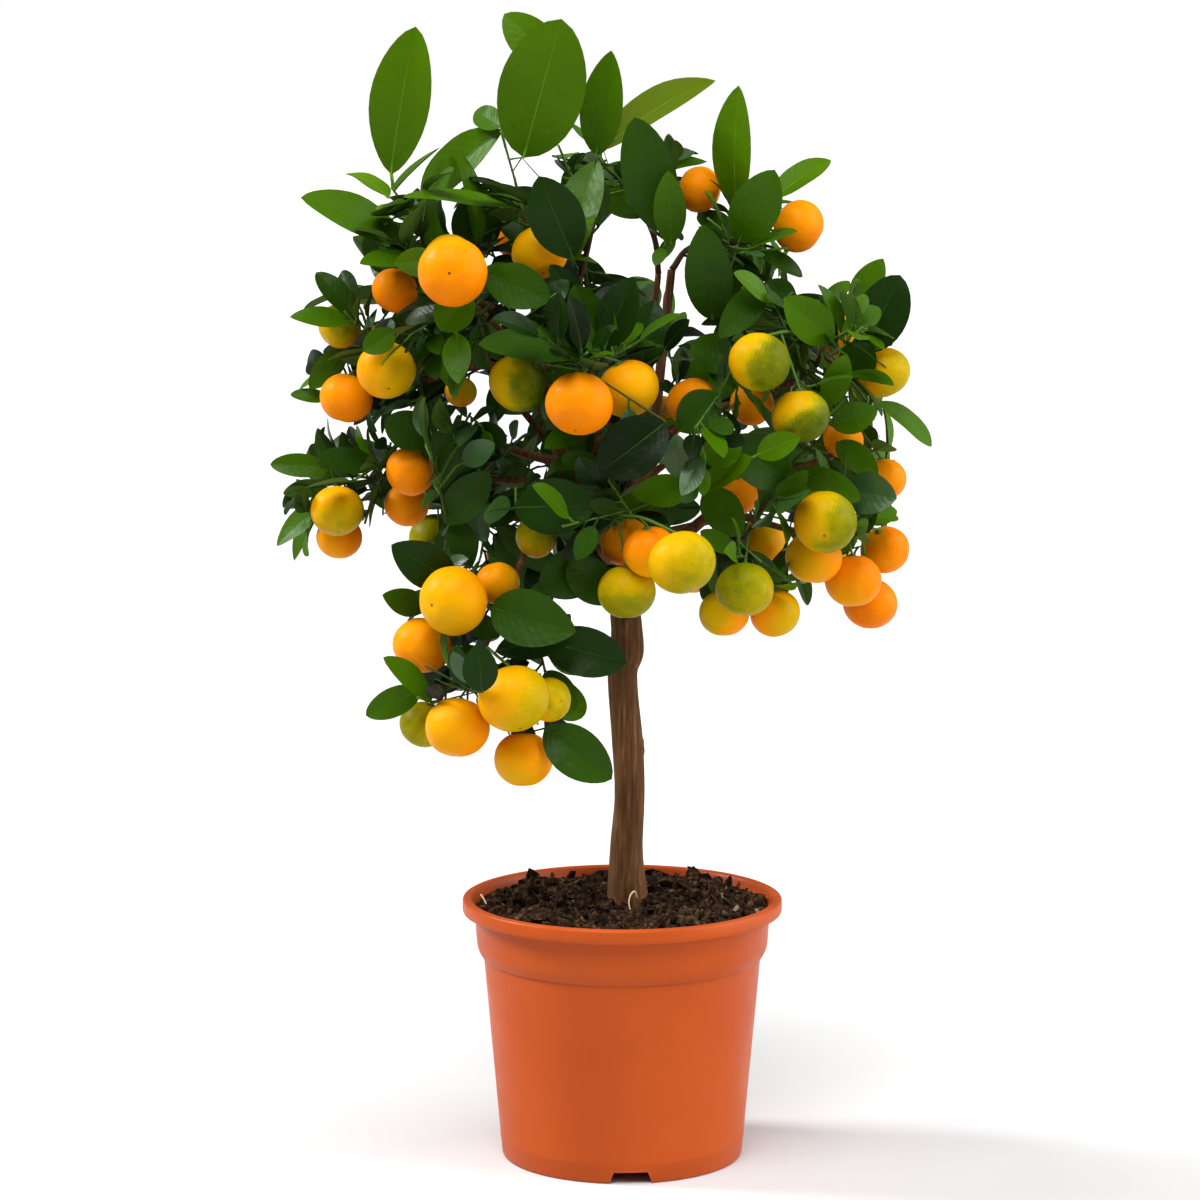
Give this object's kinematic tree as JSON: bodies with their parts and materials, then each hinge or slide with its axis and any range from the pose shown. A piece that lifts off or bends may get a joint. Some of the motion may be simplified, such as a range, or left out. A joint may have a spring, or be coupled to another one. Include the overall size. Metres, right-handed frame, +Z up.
{
  "type": "calamondin orange tree in a pot",
  "caption": "Potted calamondin orange tree: a bare single stem, a round leafy crown hung with small oranges, and a tapered plastic nursery pot full of soil.",
  "frame": {"origin": "centre of the pot's flat underside, at the level it stands on", "axes": "+Z up along the pot's axis, -Y towards the tree's best side"},
  "size_m": [0.407, 0.3357, 0.711],
  "materials": {
    "pot": "terracotta-coloured satin plastic",
    "soil": "loose dark potting soil with bits of bark",
    "bark": "grey-brown bark with long shallow furrows",
    "foliage": "glossy leathery leaves"
  },
  "bodies": {
    "root": {"pot": "pot", "soil": "soil", "trunk": "bark", "bough_leader": "bark", "bough_right_leader": "bark", "bough_right": "bark", "bough_back": "bark", "bough_left": "bark", "bough_top_left": "bark", "bough_upper_left": "bark", "bough_left_low": "bark", "bough_left_inner": "bark", "bough_front": "bark", "bough_front_low": "bark", "bough_hanging": "bark", "bough_top_centre": "bark", "bough_shoulder": "bark", "bough_inner_right": "bark", "bough_right_low": "bark", "bough_front_right": "bark", "bough_back_top": "bark", "bough_back_left": "bark", "bough_back_right": "bark", "bough_back_low_left": "bark", "bough_back_low_right": "bark", "foliage_top_left": "foliage", "foliage_top_centre_left": "foliage", "foliage_top_centre_right": "foliage", "foliage_top_right": "foliage", "foliage_right_shoulder": "foliage", "foliage_right_side": "foliage", "foliage_right_low": "foliage", "foliage_front_right_low": "foliage", "foliage_front_right_inner": "foliage", "foliage_front_centre": "foliage", "foliage_upper_left": "foliage", "foliage_left_side": "foliage", "foliage_left_low": "foliage", "foliage_left_inner": "foliage", "foliage_centre_low": "foliage", "foliage_hanging_left": "foliage", "foliage_back_top": "foliage", "foliage_back_left": "foliage", "foliage_back_right": "foliage", "foliage_back_centre": "foliage", "foliage_back_low_left": "foliage", "foliage_back_low_right": "foliage"}
  },
  "joints": []
}
